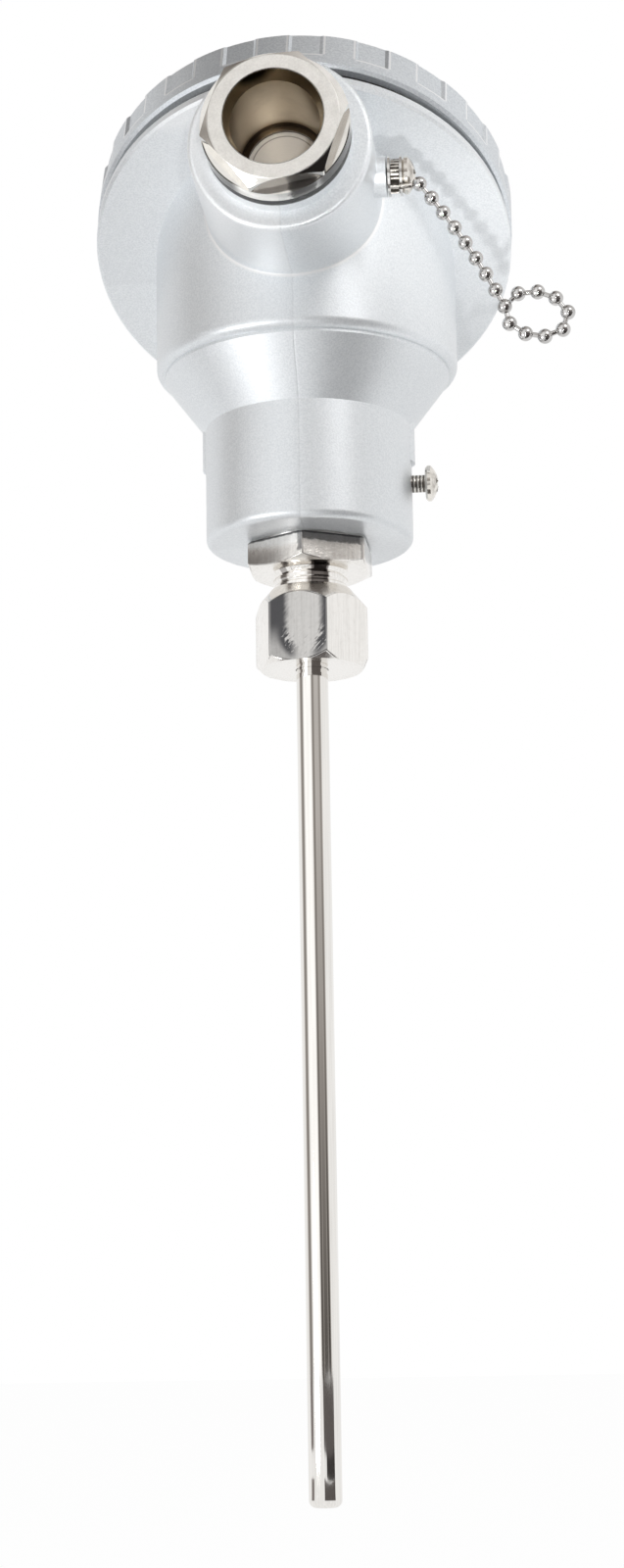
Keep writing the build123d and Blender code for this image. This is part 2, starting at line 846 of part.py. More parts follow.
# Brass terminals: a wire hole in the front face and two screws in the top
wire_z = block_top + wire_lift
screw_y = [
    terminal_front + terminal_screw_inset,
    terminal_front + terminal_length - terminal_screw_inset,
]
for number, x in enumerate(terminal_x, 1):
    with BuildPart() as terminal:
        with BuildSketch(Plane.XY.offset(terminal_bottom)):
            with Locations((x, terminal_middle)):
                Rectangle(terminal_width, terminal_length)
        extrude(amount=terminal_height)
        with BuildSketch(Plane.XY.offset(terminal_top)):
            with Locations(*[(x, y) for y in screw_y]):
                Circle(terminal_screw_radius + seat_gap)
        extrude(amount=wire_z + wire_radius - terminal_top, mode=Mode.SUBTRACT)
        with BuildSketch(Plane.XZ.offset(-terminal_front)):
            with Locations((x, wire_z)):
                Circle(wire_radius + slide_gap)
        extrude(amount=-wire_grip - slide_gap, mode=Mode.SUBTRACT)
    finish(terminal, f"terminal_{number}")

terminal_seat = Plane.XY.offset(terminal_top)
terminal_screw_length = terminal_top - wire_z - wire_radius - slide_gap
with BuildPart() as terminal_screw:
    with BuildSketch(terminal_seat):
        Circle(terminal_screw_head_radius)
    extrude(amount=terminal_screw_head_height)
    with BuildSketch(terminal_seat.offset(terminal_screw_head_height)):
        Rectangle(slot_length, slot_width)
    extrude(amount=-slot_width, mode=Mode.SUBTRACT)
    shank(terminal_seat, terminal_screw_radius, terminal_screw_length)
with BuildPart() as terminal_screws:
    with Locations(*[(x, y, 0) for x in terminal_x for y in screw_y]):
        add(terminal_screw.part)
finish(terminal_screws, "terminal_screws")

# Lead wires from the sheath's seal, through the block's hole, into the terminals
seal_top = sheath_top + seal_cap_height
wire_crest = block_top + wire_arch
for number, side in enumerate((-1, 0, 1), 1):
    low_x = side * wire_spacing
    high_x = side * terminal_pitch
    with BuildPart() as lead_wire:
        with BuildLine() as route:
            FilletPolyline(
                (low_x, 0, seal_top),
                (low_x, 0, seal_top + wire_straight),
                (low_x * wire_spread, wire_bow / 2, block_bottom + wire_radius),
                (high_x * wire_share, wire_bow, wire_crest),
                (high_x, 0, wire_crest),
                (high_x, terminal_front + wire_bow, wire_z),
                (high_x, terminal_front + wire_grip, wire_z),
                radius=wire_bend,
            )
        with BuildSketch(Plane(origin=(low_x, 0, seal_top), z_dir=route.wire() % 0)):
            Circle(wire_radius)
        sweep()
    finish(lead_wire, f"lead_wire_{number}")

os.makedirs("parts", exist_ok=True)
for part in parts:
    export_step(part, f"parts/{part.label}.step")
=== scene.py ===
"""Looks of the resistance thermometer with connection head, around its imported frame.

Metres, in the row frame: +Z up along the sheath, cable entry towards -Y. Noise scales are per metre.
"""
from math import cos, pi, radians, sin

import bpy
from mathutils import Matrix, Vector

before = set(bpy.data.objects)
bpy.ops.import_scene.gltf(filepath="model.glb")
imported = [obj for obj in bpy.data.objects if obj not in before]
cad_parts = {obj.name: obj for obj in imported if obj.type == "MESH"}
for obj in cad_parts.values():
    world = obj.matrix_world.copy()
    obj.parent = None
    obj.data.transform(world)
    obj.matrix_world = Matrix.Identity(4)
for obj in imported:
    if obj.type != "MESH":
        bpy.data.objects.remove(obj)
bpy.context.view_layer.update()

MM = 0.001

# Camera, fitted to the photograph
camera_place = (0.04443371, -0.50924419, -0.12791722)
camera_turn = (1.77554451, 0.0158118, 0.09104909)
camera_lens = 161.8288
sensor_width = 36.0
camera_near = 0.01
camera_far = 50.0

# Housing: body and boss, then where its painted shadow, rough casting and painted highlight change along the
# boss, from the front to the root
body_radius = 28.8 * MM
boss_z = 83.8 * MM
boss_centre = (0.0, 0.0, boss_z)
boss_radius = 16.5 * MM
# Painted shadow: a black band round the nose under the gland nut
nose_shadow_y = (-52.5 * MM, -51.9 * MM)
nose_rough_y = (-53.5 * MM, -46.5 * MM)
# Towards the front of the boss from here, its left half carries a painted highlight
boss_highlight_y = (-32.0 * MM, -29.0 * MM)
seam_wander = 0.2 * MM
# Painted highlight along the fillet where the boss meets the body: reach off that corner
fillet_highlight_reach = (0.1 * MM, 0.7 * MM)

# Gland nut: places along Y, radii, and the direction of its lower flat in degrees from +X to +Z
gland_front_y = -60.25 * MM
mouth_end_y = -57.35 * MM
gland_rim_y = -57.15 * MM
gland_end_y = -39.3 * MM
mouth_radius = 8.9 * MM
gland_front_radius = 11.4 * MM
gland_half_width = 11.5 * MM
gland_rim_radius = 13.2 * MM
gland_chamfer_slope = 1.4 / 1.8
gland_flat_side = -80.0
# Painted shade round the gland nut, on its lower right chamfer and its rim: left and right bearing, softness,
# in degrees
chamfer_shade = (-74.0, -26.0, 6.0)
rim_shades = [
    (-56.0, -6.0, 10.0),
    (-168.0, -122.0, 10.0),
]
# Painted shade on the step under its lower flat: left, right, softness, raggedness
step_painted_shade = (0.2 * MM, 5.2 * MM, 1.6 * MM, 1.5 * MM)
# Dark ring on the blanking disc: inner and outer radius
disc_line = (6.0 * MM, 6.22 * MM)

# Screws of the chain and the neck, and the knurl on the chain's tag
lug_place = (18.1 * MM, -36.0 * MM, 82.2 * MM)
lock_z = 35.6 * MM
lock_head_x = 22.2 * MM
chain_head_x = 21.0 * MM
screw_head_radius = 3.4 * MM
thread_pitch = 0.7 * MM
knurl_teeth = 26.0

# Flange plane and the grip ribs of the cap above it: first rib's bearing in degrees, half a rib in radians
flange_tilt = radians(30)
flange_centre = (0.0, -3.9 * MM, 80.8 * MM)
flange_normal = (0.0, sin(flange_tilt), cos(flange_tilt))
flange_ahead = (0.0, cos(flange_tilt), -sin(flange_tilt))
rib_count = 20
rib_first = 14.1
rib_foot = 8.4 * MM
rib_half = 3.0 / 40.0
# Height and width of the painted highlight along the ribs' edges
rib_edge_height = 0.36 * MM
rib_edge_width = 0.009

# Hexagons: middle of the flats, half the width over flats, direction of one flat's normal
nut_flats = (7.6 * MM, 9.5 * MM, 19.0)
fitting_flats = (21.1 * MM, 11.0 * MM, 57.8)
# How much a flat swells, as a parabola's factor in 1/m
flat_swell = -8.0
# Painted shade on the flats, standing for dark reflections of the studio's cards, in millimetres: flat's
# direction, left, right, low, high, softness, how dark, raggedness
nut_shades = [
    (-101.0, -6.0, 6.0, -1.0, 16.0, 0.4, 0.42, 0.0),
]
fitting_shades = [
    (-122.2, -9.0, 2.0, 18.0, 21.0, 6.0, 0.66, 0.9),
    (-122.2, 5.3, 7.0, 19.9, 23.6, 0.5, 0.7, 0.5),
    (-62.2, -6.2, 5.6, 22.0, 23.6, 0.4, 0.7, 0.5),
    (-62.2, 5.6, 6.1, 18.5, 23.6, 0.2, 0.4, 0.1),
    (-122.2, -7.0, 7.0, 23.3, 24.5, 0.3, 0.9, 0.2),
    (-62.2, -7.0, 7.0, 23.35, 24.5, 0.3, 0.9, 0.2),
]
# Painted shade outside a cutter's arc, standing for dark reflections: flat's direction, middle across and up,
# radius, how dark outside it
nut_arc_shades = [
    (-101.0, 1.25 * MM, 5.0 * MM, 3.3 * MM, 0.92),
]
# Painted reflections: dark bands down the stub under the fitting's hexagon: left and right bearing in
# degrees, how dark
stub_reach = 7.6 * MM
stub_painted_reflections = [
    (-84.0, -57.0, 0.8),
    (-137.0, -124.0, 0.55),
]

# Studio: levels of light. Directions are degrees right of the camera and above the horizon
camera_side = 5.0
diffuse_level = 0.38
zenith_level = 0.25
zenith_right = 0.8
zenith_spread = 0.35
zenith_mirror_rise = (40.0, 66.0)
zenith_soft_rise = (46.0, 76.0)
upper_level = 0.9
upper_rise = (14.0, 20.0)
# Bright or dark stretches of the horizon: left edge, right edge, softness, gain
softbox = (-72.0, -14.0, 14.0, 0.24)
left_wall = (-112.0, -48.0, 44.0, -0.5)
# Dark flags: left edge, right edge, softness, how dark at the horizon, how dark at flag_high
flags = [
    (-105.0, -76.0, 22.0, 0.75, 0.7),
    (-10.0, 8.0, 12.0, 0.92, 0.7),
    (8.0, 38.0, 12.0, 0.91, 0.42),
    (38.0, 58.0, 14.0, 0.95, 0.64),
]
flag_low = -2.0
flag_high = 14.0
flag_end = 24.0
# Floor and the dark cards on it: near end and far end in metres, left side, right side, grey
floor_z = -154.4 * MM
floor_half = 6.0
floor_white = 0.98
card_lift = 2.0 * MM
floor_cards = [
    (0.14, 0.36, 12.0, 70.0, 0.05),
    (0.36, 5.8, -5.0, 70.0, 0.13),
    (0.02, 0.14, -5.0, 70.0, 0.12),
    (0.36, 5.8, -105.0, -80.0, 0.25),
    (0.02, 0.14, -105.0, -80.0, 0.25),
]
# What the lamps point at
head_target = (0.0, -0.02, 0.06)
chain_target = (0.038, -0.022, 0.084)
bore_target = (0.0, -0.05, 0.084)


def rgb(red, green, blue):
    return (red, green, blue, 1.0)


# Colours of the paint: grain's dark and light ends, painted highlights on edges, the painted shade of the
# left mould half, the seam, and the black of the painted shadow at the nose
white = rgb(1.0, 1.0, 1.0)
silver_dark = rgb(0.815, 0.845, 0.87)
silver_light = rgb(0.94, 0.965, 0.985)
cap_dark = rgb(0.66, 0.695, 0.73)
cap_light = rgb(0.805, 0.84, 0.87)
cap_edge_highlight = rgb(0.98, 0.99, 1.0)
left_half_shade = rgb(0.35, 0.37, 0.40)
seam_grey = rgb(0.45, 0.46, 0.48)
shadow_gap_black = rgb(0.02, 0.02, 0.02)


def set_camera():
    """Camera at the photograph's viewing angle."""
    data = bpy.data.cameras.new("camera")
    data.sensor_fit = "HORIZONTAL"
    data.sensor_width = sensor_width
    data.lens = camera_lens
    data.clip_start = camera_near
    data.clip_end = camera_far
    camera = bpy.data.objects.new("camera", data)
    camera.location = camera_place
    camera.rotation_euler = camera_turn
    bpy.context.scene.collection.objects.link(camera)
    bpy.context.scene.camera = camera


class Graph:
    """Short calls for building a node tree."""

    def __init__(self, tree):
        self.tree = tree
        tree.nodes.clear()

    def add(self, kind, inputs=None, **settings):
        """Node of a kind, with its settings and its inputs, which are values or sockets."""
        node = self.tree.nodes.new(kind)
        for name, value in settings.items():
            setattr(node, name, value)
        for name, value in (inputs or {}).items():
            self.feed(node.inputs[name], value)
        return node

    def feed(self, socket, value):
        if isinstance(value, bpy.types.NodeSocket):
            self.tree.links.new(value, socket)
        else:
            socket.default_value = value

    def math(self, operation, *values):
        node = self.add("ShaderNodeMath", operation=operation)
        for socket, value in zip(node.inputs, values):
            self.feed(socket, value)
        return node.outputs[0]

    def plus(self, first, second):
        return self.math("ADD", first, second)

    def minus(self, first, second):
        return self.math("SUBTRACT", first, second)

    def times(self, first, *others):
        for other in others:
            first = self.math("MULTIPLY", first, other)
        return first

    def larger(self, first, second):
        return self.math("MAXIMUM", first, second)

    def size(self, value):
        return self.math("ABSOLUTE", value)

    def line(self, value, slope, start):
        """Start plus a slope times the value."""
        return self.math("MULTIPLY_ADD", value, slope, start)

    def gained(self, level, share, gain):
        """Level that grows by the gain where the share is one."""
        return self.times(level, self.line(share, gain, 1.0))

    def bearing(self, up, right):
        """Direction in degrees."""
        return self.times(self.math("ARCTAN2", up, right), 180 / pi)

    def fold(self, angle, step):
        """What an angle lies off the nearest multiple of the step."""
        index = self.math("ROUND", self.math("DIVIDE", angle, step))
        return self.line(index, -step, angle)

    def vector(self, operation, *values):
        node = self.add("ShaderNodeVectorMath", operation=operation)
        for socket, value in zip(node.inputs, values):
            self.feed(socket, value)
        return node.outputs["Value" if operation in ("LENGTH", "DOT_PRODUCT") else "Vector"]

    def split(self, vector):
        node = self.add("ShaderNodeSeparateXYZ", {"Vector": vector})
        return node.outputs["X"], node.outputs["Y"], node.outputs["Z"]

    def combine(self, x, y=0.0, z=0.0):
        return self.add("ShaderNodeCombineXYZ", {"X": x, "Y": y, "Z": z}).outputs[0]

    def reach(self, vector, axis):
        """Distance from an axis through the origin."""
        across = [0.0 if letter == axis else 1.0 for letter in "XYZ"]
        return self.vector("LENGTH", self.vector("MULTIPLY", vector, across))

    def ramp(self, value, low, high, start=0.0, end=1.0):
        """Smooth step of a value from low to high."""
        node = self.add(
            "ShaderNodeMapRange",
            {"Value": value, "From Min": low, "From Max": high, "To Min": start, "To Max": end},
            interpolation_type="SMOOTHSTEP",
        )
        return node.outputs["Result"]

    def band(self, value, low, high, edge):
        """One between low and high, falling to nought over the edge."""
        rising = self.ramp(value, low - edge / 2, low + edge / 2)
        falling = self.ramp(value, high - edge / 2, high + edge / 2, 1.0, 0.0)
        return self.times(rising, falling)

    def mix(self, share, first, second):
        """Colour between two colours."""
        node = self.add("ShaderNodeMix", data_type="RGBA")
        self.feed(node.inputs[0], share)
        self.feed(node.inputs[6], first)
        self.feed(node.inputs[7], second)
        return node.outputs[2]

    def paint(self, base, colour, *shares):
        """Colour laid over the base, by the product of its shares."""
        return self.mix(self.times(*shares), base, colour)

    def noise(self, vector, scale, detail=2.0, roughness=0.5):
        node = self.add(
            "ShaderNodeTexNoise",
            {"Vector": vector, "Scale": scale, "Detail": detail, "Roughness": roughness},
        )
        return node.outputs["Fac"]

    def rings(self, reach, along, scale):
        """Noise that is the same all round a turning axis."""
        return self.noise(self.combine(reach, along), scale)

    def bump(self, height, distance, strength, normal=None):
        inputs = {"Height": height, "Distance": distance, "Strength": strength}
        if normal is not None:
            inputs["Normal"] = normal
        return self.add("ShaderNodeBump", inputs).outputs["Normal"]


def set_world():
    """White studio that polished metal mirrors, with dark flags near the horizon."""
    world = bpy.data.worlds.new("studio")
    world.use_nodes = True
    bpy.context.scene.world = world
    g = Graph(world.node_tree)
    x, y, z = g.split(g.add("ShaderNodeTexCoord").outputs["Generated"])
    turn = g.minus(g.bearing(x, g.times(y, -1.0)), camera_side)
    rise = g.times(g.math("ARCSINE", z), 180 / pi)
    *sides, gain = softbox
    level = g.line(g.band(turn, *sides), gain, 1.0)
    fade = g.ramp(rise, flag_high, flag_end, 1.0, 0.0)
    for low, high, edge, depth, depth_high in flags:
        shade = g.times(g.ramp(rise, flag_low, flag_high, depth, depth_high), fade)
        level = g.gained(level, g.times(shade, g.band(turn, low, high, edge)), -1.0)
    upper = g.ramp(rise, *upper_rise)
    *sides, gain = left_wall
    level = g.gained(level, g.times(g.band(turn, *sides), upper), gain)
    level = g.gained(level, upper, upper_level - 1.0)
    zenith = g.ramp(x, -zenith_spread, zenith_spread, zenith_level, zenith_right)
    level = g.gained(level, g.ramp(rise, *zenith_mirror_rise), g.minus(zenith, 1.0))
    tint = g.mix(level, rgb(1.0, 0.90, 0.82), white)
    mirrored = g.vector("SCALE", tint)
    g.feed(mirrored.node.inputs["Scale"], level)
    sky = g.ramp(rise, *zenith_soft_rise, 1.0, zenith_level)
    soft = g.add("ShaderNodeBackground", {"Color": sky, "Strength": diffuse_level})
    sharp = g.add("ShaderNodeBackground", {"Color": mirrored, "Strength": 1.0})
    plain_white = g.add("ShaderNodeBackground", {"Color": white, "Strength": 1.0})
    path = g.add("ShaderNodeLightPath")
    straight = g.larger(path.outputs["Is Camera Ray"], path.outputs["Is Transmission Ray"])
    gloss = path.outputs["Is Glossy Ray"]
    inner = g.add("ShaderNodeMixShader", {0: gloss, 1: soft.outputs[0], 2: sharp.outputs[0]})
    mixed = g.add("ShaderNodeMixShader", {0: straight, 1: inner.outputs[0], 2: plain_white.outputs[0]})
    g.add("ShaderNodeOutputWorld", {"Surface": mixed.outputs[0]})


def add_lamp(name, side, rise, distance, size, light, target=head_target, beam=None, gloss=True):
    """Round lamp in a direction from the target; light is what it sends there, with the sky as 1.

    With a beam, in degrees, it is a spotlight that only reaches the target's surroundings. Polished metal
    doesn't mirror a lamp without gloss.
    """
    turn = radians(side + camera_side)
    up = radians(rise)
    way = Vector((sin(turn) * cos(up), -cos(turn) * cos(up), sin(up)))
    if beam is None:
        data = bpy.data.lights.new(name, "AREA")
        data.shape = "DISK"
        data.size = size
        data.energy = light * pi * pi * distance ** 2
    else:
        data = bpy.data.lights.new(name, "SPOT")
        data.shadow_soft_size = size / 2
        data.spot_size = radians(beam)
        data.spot_blend = 1.0
        data.energy = light * 4 * pi * pi * distance ** 2
    lamp = bpy.data.objects.new(name, data)
    lamp.location = Vector(target) + way * distance
    lamp.rotation_euler = (-way).to_track_quat("-Z", "Y").to_euler()
    lamp.visible_camera = False
    lamp.visible_glossy = gloss
    bpy.context.scene.collection.objects.link(lamp)


def set_lights():
    """Soft lamps high right, low left and at the right edge; spotlights on the chain and into the bore."""
    add_lamp("high_right", side=38, rise=34, distance=1.2, size=0.6, light=0.17)
    add_lamp("low_left", side=-50, rise=-34, distance=0.34, size=0.14, light=0.35)
    add_lamp("right_edge", side=92, rise=4, distance=0.5, size=0.3, light=0.12, gloss=False)
    on_chain = {"size": 0.010, "target": chain_target}
    add_lamp("chain_high", side=-3, rise=-38, distance=0.35, light=0.4, beam=12, **on_chain)
    add_lamp("chain_side", side=5.5, rise=-20.5, distance=0.42, light=0.25, beam=10, **on_chain)
    add_lamp("bore", side=6, rise=-20, distance=0.45, size=0.04, light=0.9, target=bore_target, beam=4)


def add_sheet(name, corners):
    """Flat sheet of the studio, not part of the object."""
    mesh = bpy.data.meshes.new(name)
    mesh.from_pydata(corners, [], [(0, 1, 2, 3)])
    sheet = bpy.data.objects.new(name, mesh)
    bpy.context.scene.collection.objects.link(sheet)
    return sheet


def add_floor():
    """Pale floor that reads as white and keeps the object's shadow."""
    signs = ((-1, -1), (1, -1), (1, 1), (-1, 1))
    floor = add_sheet("floor", [(x * floor_half, y * floor_half, floor_z) for x, y in signs])
    material = bpy.data.materials.new("floor_white")
    material.use_nodes = True
    g = Graph(material.node_tree)
    paint = g.add("ShaderNodeBsdfDiffuse", {"Color": rgb(0.86, 0.86, 0.86)})
    glow = g.add("ShaderNodeEmission", {"Color": white, "Strength": 1.0})
    path = g.add("ShaderNodeLightPath")
    seen = g.larger(path.outputs["Is Camera Ray"], path.outputs["Is Glossy Ray"])
    share = g.times(seen, floor_white)
    mixed = g.add("ShaderNodeMixShader", {0: share, 1: paint.outputs[0], 2: glow.outputs[0]})
    g.add("ShaderNodeOutputMaterial", {"Surface": mixed.outputs[0]})
    floor.data.materials.append(material)


def add_floor_cards():
    """Dark cards lying on the floor, which only gloss shows."""
    for number, (near, far, left, right, grey) in enumerate(floor_cards):
        corners = []
        for distance, side in ((far, left), (far, right), (near, right), (near, left)):
            turn = radians(side + camera_side)
            corners.append((distance * sin(turn), -distance * cos(turn), floor_z + card_lift))
        card = add_sheet("floor_card_%d" % number, corners)
        card.visible_camera = False
        card.visible_diffuse = False
        card.visible_transmission = False
        card.visible_shadow = False
        material = bpy.data.materials.new("card_%d" % number)
        material.use_nodes = True
        g = Graph(material.node_tree)
        shade = g.add("ShaderNodeEmission", {"Color": rgb(grey, grey * 0.9, grey * 0.87), "Strength": 1.0})
        g.add("ShaderNodeOutputMaterial", {"Surface": shade.outputs[0]})
        card.data.materials.append(material)


def finish_material(name, build):
    """Material whose build function returns the inputs of its shader."""
    material = bpy.data.materials.new(name)
    material.use_nodes = True
    g = Graph(material.node_tree)
    place = g.add("ShaderNodeTexCoord").outputs["Object"]
    shader = g.add("ShaderNodeBsdfPrincipled", build(g, place))
    g.add("ShaderNodeOutputMaterial", {"Surface": shader.outputs[0]})
    return material


def satin_paint(g, place):
    """Silver paint on the die casting: fine sparkle, a mould seam down the front, a rough nose; painted light
    on the left mould half, lighter on the boss and a little darker elsewhere, a painted highlight along the
    boss's fillet and a painted shadow round the nose.
    """
    grain = g.noise(place, 3200, 2.0, 0.6)
    cloud = g.noise(place, 60, 3.0)
    x, y = g.split(place)[:2]
    front = g.math("LESS_THAN", y, 0.0)
    across = g.plus(x, g.line(g.noise(place, 150), 2 * seam_wander, -seam_wander))
    left = g.times(g.ramp(across, -0.05 * MM, 0.05 * MM, 1.0, 0.0), front)
    seam = g.times(g.ramp(g.size(across), 0.05 * MM, 0.25 * MM, 1.0, 0.0), front)
    on_boss = g.ramp(y, *boss_highlight_y, 1.0, 0.0)
    base = g.mix(g.ramp(grain, 0.3, 0.7), silver_dark, silver_light)
    # Painted light: the left mould half is lighter on the boss (painted highlight) and a little darker
    # elsewhere (painted shade)
    base = g.paint(base, white, left, on_boss, 0.35)
    base = g.paint(base, left_half_shade, left, g.minus(1.0, on_boss), 0.05)
    base = g.paint(base, seam_grey, seam, 0.12)
    boss_reach = g.reach(g.vector("SUBTRACT", place, boss_centre), "Y")
    off_corner = g.minus(g.plus(boss_reach, g.reach(place, "Z")), boss_radius + body_radius)
    # Painted highlight: a white line along the boss's fillet
    base = g.paint(base, white, g.ramp(off_corner, *fillet_highlight_reach, 1.0, 0.0), front, 0.85)
    # Painted shadow: a black band round the nose where the gland nut sits on it
    base = g.mix(g.ramp(y, *nose_shadow_y, 1.0, 0.0), base, shadow_gap_black)
    casting = g.times(g.noise(place, 380, 5.0, 0.7), g.ramp(y, *nose_rough_y, 1.0, 0.0))
    rough = g.ramp(g.plus(grain, g.times(cloud, 0.3)), 0.3, 1.0, 0.32, 0.46)
    normal = g.bump(grain, 0.04 * MM, 0.6)
    normal = g.bump(casting, 0.7 * MM, 0.5, normal)
    normal = g.bump(seam, -0.03 * MM, 0.5, normal)
    return {"Base Color": base, "Metallic": 0.5, "Roughness": rough, "Normal": normal}


def cap_paint(g, place):
    """Blue-grey satin paint of the screw cap, with a painted highlight along the edges of the grip ribs."""
    grain = g.noise(place, 2600, 2.0, 0.6)
    base = g.mix(g.ramp(grain, 0.3, 0.7), cap_dark, cap_light)
    away = g.vector("SUBTRACT", place, flange_centre)
    height = g.vector("DOT_PRODUCT", away, flange_normal)
    ahead = g.vector("DOT_PRODUCT", away, flange_ahead)
    turn = g.minus(g.math("ARCTAN2", ahead, g.split(away)[0]), radians(rib_first))
    off_rib = g.size(g.fold(turn, 2 * pi / rib_count))
    recess = g.ramp(off_rib, rib_half, rib_half + 0.003)
    # Painted highlight along the ribs' foot and side edges
    foot_edge = g.times(recess, g.band(height, rib_foot - rib_edge_height, rib_foot, 0.1 * MM))
    above_foot = g.ramp(height, rib_foot, rib_foot + 0.1 * MM)
    side_edge = g.times(above_foot, g.band(off_rib, rib_half - rib_edge_width, rib_half, 0.002))
    base = g.paint(base, cap_edge_highlight, g.larger(foot_edge, side_edge), 0.9)
    normal = g.bump(grain, 0.03 * MM, 0.5)
    return {"Base Color": base, "Metallic": 0.7, "Roughness": 0.4, "Normal": normal}


def nickel(tint, rough):
    """Bright nickel plate over turned metal, with ring marks about the sheath's axis."""

    def build(g, place):
        marks = g.rings(g.reach(place, "Z"), g.split(place)[2], 6000)
        cloud = g.noise(place, 240, 3.0)
        base = g.mix(g.ramp(cloud, 0.35, 0.7), rgb(*tint), rgb(*[c * 0.9 for c in tint]))
        edge = g.ramp(cloud, 0.2, 0.8, rough * 0.8, rough * 1.25)
        normal = g.bump(marks, 0.004 * MM, 0.5)
        return {"Base Color": base, "Metallic": 1.0, "Roughness": edge, "Normal": normal}

    return build


def sweep_shade(g, across, z, middle, height, radius):
    """Painted shade on a flat outside the arc of its cutter, standing for dark reflections, ragged and broken
    towards the lower corners, with faint darker cutter lines.
    """
    aside = g.minus(across, middle)
    drop = g.larger(g.minus(height, z), 0.0)
    reach = g.math("SQRT", g.plus(g.times(aside, aside), g.times(drop, drop)))
    slant = g.times(g.minus(across, z), 0.7)
    trail = g.times(g.plus(across, z), 0.12)
    comb_place = g.combine(slant, trail, g.times(reach, 0.3))
    comb = g.minus(g.noise(comb_place, 2600, 3.0, 0.65), 0.5)
    low = g.ramp(z, height - 3.0 * MM, height + 2.5 * MM, 1.0, 0.0)
    stray = g.times(comb, g.line(low, 9.0 * MM, 1.0 * MM))
    soft = g.line(low, -0.5 * MM, 0.8 * MM)
    over = g.minus(g.plus(reach, stray), radius)
    shade = g.ramp(over, g.times(soft, -1.0), soft)
    shade = g.times(shade, g.ramp(g.size(aside), 0.6 * MM, 3.0 * MM))
    shade = g.times(shade, g.ramp(across, -5.6 * MM, -4.9 * MM, 0.5, 1.0))
    corner = g.times(low, g.ramp(reach, radius + 1.0 * MM, radius + 2.4 * MM))
    shade = g.gained(shade, corner, -0.7)
    # Faint cutter lines, the metal's own marks
    lines = g.times(g.ramp(comb, 0.0, 0.2), g.line(low, 0.3, 0.06))
    return g.larger(shade, lines)


def one_flat(g, place, side, half_width):
    """One on the flat that faces a side, in degrees about Z."""
    out = g.vector("DOT_PRODUCT", place, (cos(radians(side)), sin(radians(side)), 0.0))
    return g.ramp(out, half_width - 0.4 * MM, half_width - 0.2 * MM)


def milled_nickel(flats, shades, arc_shades=(), reflection_bands=()):
    """Nickel on a milled hexagon: flats that swell a little, cutter arcs, painted shade on the flats and
    painted reflections down the stub.
    """
    middle_z, half_width, turn = flats

    def build(g, place):
        x, y, z = g.split(place)
        reach = g.reach(place, "Z")
        folded = g.fold(g.minus(g.math("ARCTAN2", y, x), radians(turn)), pi / 3)
        across = g.times(reach, g.math("SINE", folded))
        out = g.times(reach, g.math("COSINE", folded))
        on_flat = g.ramp(out, half_width - 0.3 * MM, half_width - 0.1 * MM)
        worn = g.noise(place, 900, 3.0, 0.6)
        rag = g.minus(g.noise(place, 1100, 3.0, 0.6), 0.5)
        brushed = g.noise(g.vector("MULTIPLY", place, (1.0, 1.0, 0.04)), 2600, 3.0)
        base = g.mix(g.ramp(brushed, 0.3, 0.75), rgb(0.89, 0.87, 0.84), rgb(0.80, 0.78, 0.75))
        base = g.paint(base, rgb(0.6, 0.58, 0.55), g.ramp(worn, 0.55, 0.75), 0.25)
        for side, left, right, low, high, soft, depth, ragged in shades:
            stray = g.times(rag, ragged * 2 * MM)
            width = g.band(g.plus(across, stray), left * MM, right * MM, soft * MM)
            height = g.band(g.minus(z, stray), low * MM, high * MM, soft * MM)
            this_flat = one_flat(g, place, side, half_width)
            # Painted shade standing for dark reflections on the flats
            base = g.paint(base, rgb(0.045, 0.045, 0.05), width, height, this_flat, depth)
        for side, middle, height, radius, depth in arc_shades:
            shade = sweep_shade(g, across, z, middle, height, radius)
            # Painted shade outside the cutter's arc, standing for dark reflections
            base = g.paint(base, rgb(0.04, 0.04, 0.045), shade, depth, one_flat(g, place, side, half_width))
        on_stub = g.ramp(reach, stub_reach, stub_reach + 0.2 * MM, 1.0, 0.0)
        for left, right, depth in reflection_bands:
            # Painted reflections of dark cards down the stub
            stripe = g.band(g.bearing(y, x), left, right, 3.0)
            base = g.paint(base, rgb(0.05, 0.035, 0.03), stripe, on_stub, depth)
        from_middle = g.vector("LENGTH", g.vector("SUBTRACT", place, (0.0, 0.0, middle_z)))
        arcs = g.noise(g.combine(from_middle), 3000, 2.0, 0.6)
        arcs = g.times(arcs, g.ramp(worn, 0.4, 0.6), on_flat)
        normal = g.bump(g.times(across, across, flat_swell, on_flat), 1.0, 1.0)
        normal = g.bump(arcs, 0.02 * MM, 0.5, normal)
        normal = g.bump(brushed, 0.002 * MM, 0.5, normal)
        milled = g.ramp(reach, half_width - 3.0 * MM, half_width - 1.0 * MM, 0.35, 1.0)
        rough = g.times(g.ramp(worn, 0.25, 0.75, 0.14, 0.24), milled)
        return {"Base Color": base, "Metallic": 1.0, "Roughness": rough, "Normal": normal}

    return build


